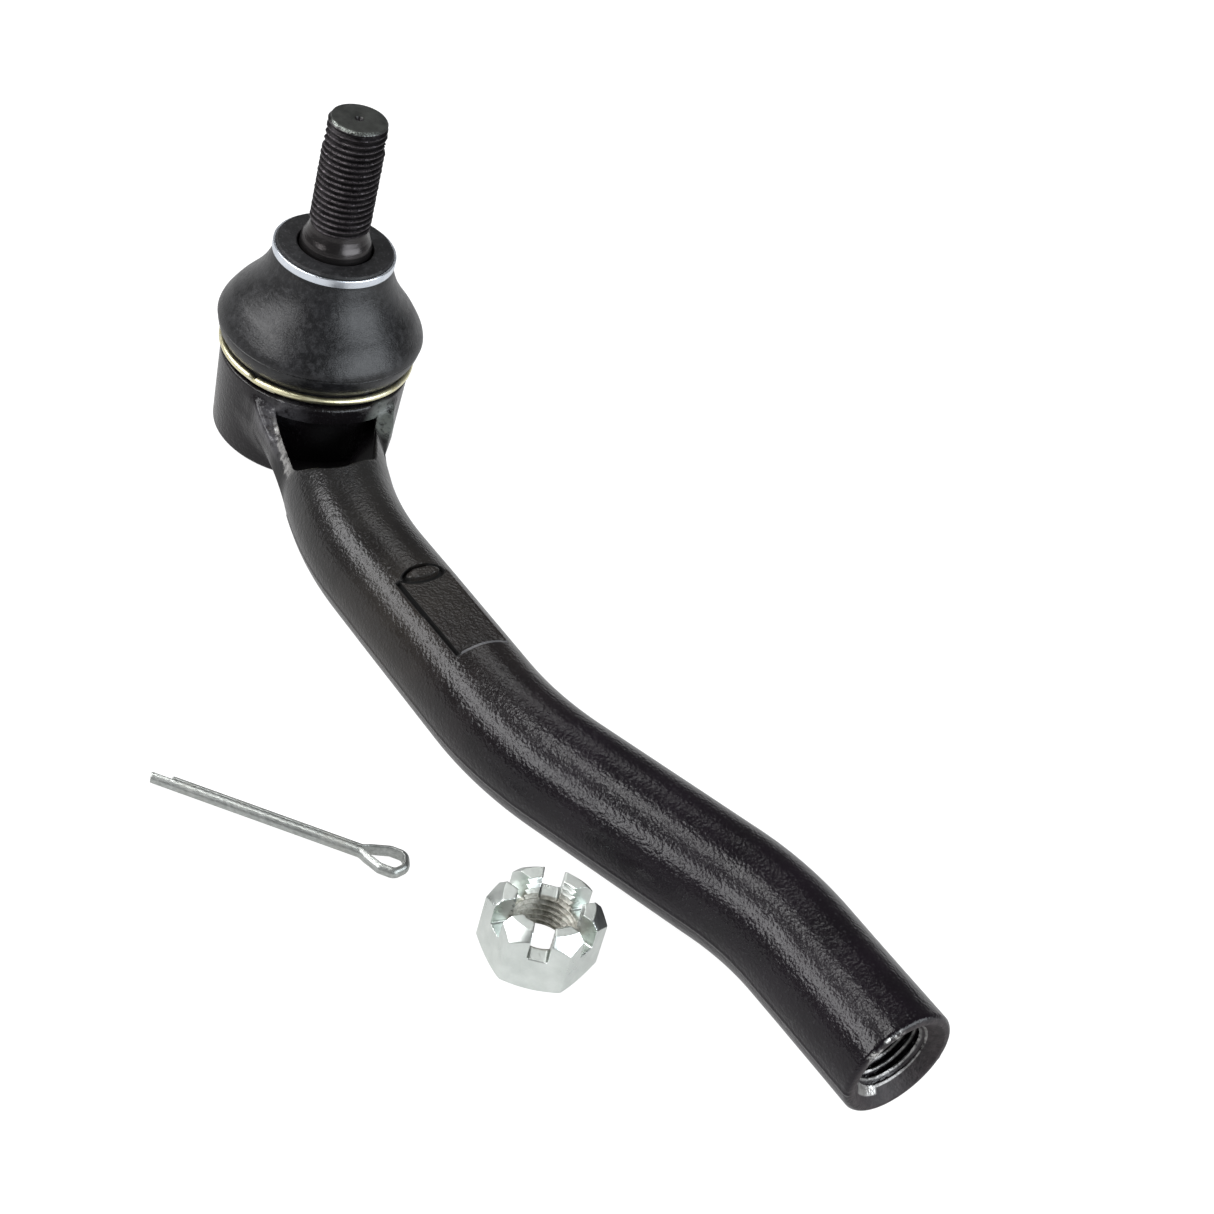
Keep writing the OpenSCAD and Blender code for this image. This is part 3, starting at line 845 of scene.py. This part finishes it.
def stud(x, y, z):
    rad = length(x, y)
    d = join(polygon(rad, z, STUD_OUTLINE), length(rad, z - BALL_Z) - BALL_R, 1.2)
    # the thread fades in above the taper and is worn down towards the tip
    turn = np.arctan2(y, x) / (2 * math.pi)
    worn = 0.22 * np.clip((z - 66.5) / 3.5, 0, 1)
    height = STUD_THREAD_H * np.clip((z - STUD_THREAD_LOW) / 0.9, 0, 1) - worn
    thread = (rad - (STUD_ROOT_R + height * ridge(z / STUD_PITCH - turn))) * 0.6
    d = np.minimum(d, np.maximum(thread, STUD_THREAD_LOW - z))
    d = both(d, np.maximum(z - STUD_TOP, (rad - 5.35 + z - STUD_TOP) * 0.707), 0.12)
    # lathe centre in the top face
    d = np.maximum(d, (0.85 - rad - (STUD_TOP - z) * 0.7) * 0.8)
    across = x * math.sin(COTTER_HOLE_TURN) - y * math.cos(COTTER_HOLE_TURN)
    return np.maximum(d, COTTER_HOLE_R - length(across, z - COTTER_HOLE_Z))


piece("ball_stud_body", *contour(stud, (-10.3, -10.3, 2.2), (10.3, 10.3, 72.3), 0.17),
      "stud_phosphate", "stud", "ball_stud", sharp=32)


# ============================================================ rubber boot
boot_foot = [(17.4, 21.1), (16.65, 21.1), (16.65, 18.2), (16.85, 18), (17.9, 18), (18.1, 18.2), (18.1, 19),
             (17.95, 19.5), (18.02, 20)]
boot_bulge = flow([(18.05, 20.3), (18.75, 20.9), (19.55, 22.1), (20, 23.2), (20.3, 24.3), (20.36, 24.9)])
# a crease divides the bulge from the dome
boot_dome = flow([(20.2, 25.08), (20.47, 25.2), (20.5, 25.55), (20.15, 26.6), (19.35, 28), (18, 30),
                  (16.35, 32), (14.85, 34), (13.62, 36), (12.7, 38), (12, 40), (11.72, 40.8), (11.66, 41.15)])
boot_lip = rounded([(11.5, 41.15), (11.5, 43.05), (11.6, 43.05), (11.3, 43.6), (7.45, 43.6), (7.55, 42.5),
                    (7.7, 40.6)], [0.05, 0.05, 0.2, 0.3, 0.35, 0.2, 0.2])
boot_inside = flow([(9.6, 40), (10.6, 38), (11.6, 36), (12.9, 34), (14.4, 32), (16, 30), (17.5, 28),
                    (18.4, 26), (18.2, 24), (17.45, 22.4)])
boot = piece("boot", *lathe(boot_foot + boot_bulge + boot_dome + boot_lip + boot_inside, 192),
             "boot_rubber", None, "dust_boot", sharp=35)
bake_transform(boot)


# ============================================================ clip ring and top band
CLIP_R, CLIP_Z, WIRE_R = 18.84, 19.55, 0.7
LAP_START, LAP = 292, 13


def clip_path():
    """One turn of wire and a lap; its far end dives under the near end and is ground thinner."""
    angle = np.concatenate([[0, 0.35], np.linspace(1.2, 360 + LAP, 260)])
    dive = np.clip((angle - 352) / 8, 0, 1)
    dive = dive * dive * (3 - 2 * dive)
    ring_r = CLIP_R - 0.22 * dive + 0.12 * np.clip(1 - angle / 12, 0, 1)
    around = np.radians(angle + LAP_START)
    path = np.stack([ring_r * np.cos(around), ring_r * np.sin(around), CLIP_Z + 0.05 - 0.65 * dive], 1)
    radii = WIRE_R - 0.22 * dive
    # a small bevel on the near end
    radii[0] -= 0.09
    return path, radii


piece("clip_ring", *tube(*clip_path()), "ring_zinc", "boot_foot", "boot_clip_ring", sharp=50)

band = rounded([(11.62, 41.3), (12, 41.3), (12.1, 41.45), (12.1, 42.85), (12, 43), (11.62, 43)], [0.08] * 6)
piece("top_band", *lathe(band, 192), "band_steel", "boot_crown", "boot_top_band", sharp=60)


# ============================================================ castle nut
NUT_TURN = math.radians(-40.7)
NUT_H, NUT_FLATS = 12, 18
SLOT_LOW, SLOT_HALF_W = 6.9, 1.75
NUT_ROOT_R, NUT_THREAD_H = 6.05, 0.62


def castle_nut(x, y, z):
    u, v = turned_axes(x - NUT_X, y - NUT_Y, NUT_TURN)
    rad = length(u, v)
    hexagon = np.full(x.shape, -1e9)
    slots = np.full(x.shape, 1e9)
    for k in range(3):
        across, along = (np.abs(c) for c in turned_axes(u, v, math.radians(60 * k)))
        hexagon = both(hexagon, across - NUT_FLATS / 2, 0.25)
        slots = np.minimum(slots, np.maximum(both(along - SLOT_HALF_W, SLOT_LOW - z, 0.45), 3 - across))
    ends = np.maximum(-z, z - NUT_H)
    tip_cone = (rad - 7.8 + (z - NUT_H)) * 0.707
    base_cone = (rad - 8.75 - z * 1.9) * 0.466
    d = both(hexagon, both(np.maximum(ends, tip_cone), base_cone, 0.1), 0.12)
    d = cut(d, slots, 0.15)
    turn = np.arctan2(v, u) / (2 * math.pi)
    bore = (rad - (NUT_ROOT_R - NUT_THREAD_H * ridge(z / STUD_PITCH - turn))) * 0.6
    countersink = (rad - 6.35 + z) * 0.707
    return cut(d, np.minimum(bore, countersink), 0.05)


nut_low = (NUT_X - 10.8, NUT_Y - 10.8, -0.3)
nut_high = (NUT_X + 10.8, NUT_Y + 10.8, 12.3)
piece("slotted_nut", *contour(castle_nut, nut_low, nut_high, 0.14),
      "nut_zinc", "loose_nut", "castle_nut", sharp=30)


# ============================================================ cotter pin
PIN_TIP_X, PIN_TIP_Y, PIN_TURN = 82.2, -75.9, math.radians(40.4)
PIN_LENGTH, PIN_R, SHORT_LEG = 47, 1.15, 3.6
EYE_LENGTH, EYE_W = 9.6, 6.4
SHANK = PIN_LENGTH - EYE_LENGTH
EYE_SOFT = 0.9
EYE_HALF = EYE_W / 2 - PIN_R - EYE_SOFT
EYE = [(SHANK + 2.6, 0.02), (SHANK + 5.5, EYE_HALF), (SHANK + 7.0, EYE_HALF - 0.04), (PIN_LENGTH - 2.2, 0.12),
       (PIN_LENGTH - 2.15, -0.3), (SHANK + 6.9, -EYE_HALF - 0.04), (SHANK + 5.2, -EYE_HALF)]


def split_pin(x, y, z):
    u, v = turned_axes(x - PIN_TIP_X, y - PIN_TIP_Y, PIN_TURN)
    # the inside of the folded wire: a narrow slit that opens into the eye
    slit = np.maximum(np.abs(v) - 0.07, u - SHANK - 3)
    gap = join(polygon(u, v, EYE) - EYE_SOFT, slit, 1.4)
    d = both(length(np.maximum(gap, 0), z - PIN_R) - PIN_R, -gap, 0.22)
    # the near leg is longer, and both ends are sheared off with a small burr radius
    tip = np.where(v < 0, -u - 0.3 * np.minimum(v + 0.5, 0), SHORT_LEG - u + 0.35 * np.maximum(v - 0.5, 0))
    return both(d, tip, 0.15)


piece("split_pin", *contour(split_pin, (80.4, -77.6, -0.3), (121.2, -41.2, 2.7), 0.13),
      "pin_zinc", "loose_pin", "cotter_pin", sharp=35)


# ============================================================ closing plug, spring and seats
plug = rounded([(0, 0), (6, 0), (9, 0.7), (14.4, 0.7), (14.4, 2.1), (8.6, 2.1), (5.8, 1.4), (0, 1.4)],
               [0, 1.2, 1.2, 0.2, 0.2, 1.2, 1.2, 0])
piece("bottom_plug", *lathe(plug, 128), "plug_steel", "housing", "closing_plug", sharp=45)

INNER_SLOTS = {"preload_spring": "spring_steel", "lower_seat": "seat_resin", "upper_seat": "seat_resin"}
for name, slot in INNER_SLOTS.items():
    for material_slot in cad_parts[name].material_slots:
        material_slot.material = MATERIALS[slot]


# ============================================================ floor and surroundings
def floor():
    """A white floor a hair below the part, which glows for the camera and less for the part."""
    mesh = bpy.data.meshes.new("floor")
    mesh.from_pydata([(-6, -6, 0), (6, -6, 0), (6, 6, 0), (-6, 6, 0)], [], [(0, 1, 2, 3)])
    obj = bpy.data.objects.new("floor", mesh)
    obj.location = (0, 0, -0.0002)
    bpy.context.collection.objects.link(obj)
    m = Mat("floor_white", Roughness=0.9, Specular_IOR_Level=0.1)
    m.set("Base Color", m.ramp(m.noise(0.3, 2), (0.3, 0.24), (0.7, 0.26)))
    m.out.inputs["Emission Color"].default_value = (1, 1, 1, 1)
    seen = m.node("ShaderNodeLightPath").outputs["Is Camera Ray"]
    m.set("Emission Strength", m.span(seen, 0, 1, 0.52, 0.95))
    mesh.materials.append(m.mat)


def surroundings():
    """White for the camera, dim for the part."""
    world = bpy.data.worlds.new("studio")
    world.use_nodes = True
    tree = world.node_tree
    backdrop = tree.nodes["Background"]
    backdrop.inputs["Color"].default_value = (1, 1, 1, 1)
    strength = tree.nodes.new("ShaderNodeMapRange")
    strength.inputs["To Min"].default_value = 0.12
    strength.inputs["To Max"].default_value = 1.0
    seen = tree.nodes.new("ShaderNodeLightPath").outputs["Is Camera Ray"]
    tree.links.new(seen, strength.inputs["Value"])
    tree.links.new(strength.outputs["Result"], backdrop.inputs["Strength"])
    bpy.context.scene.world = world


floor()
surroundings()
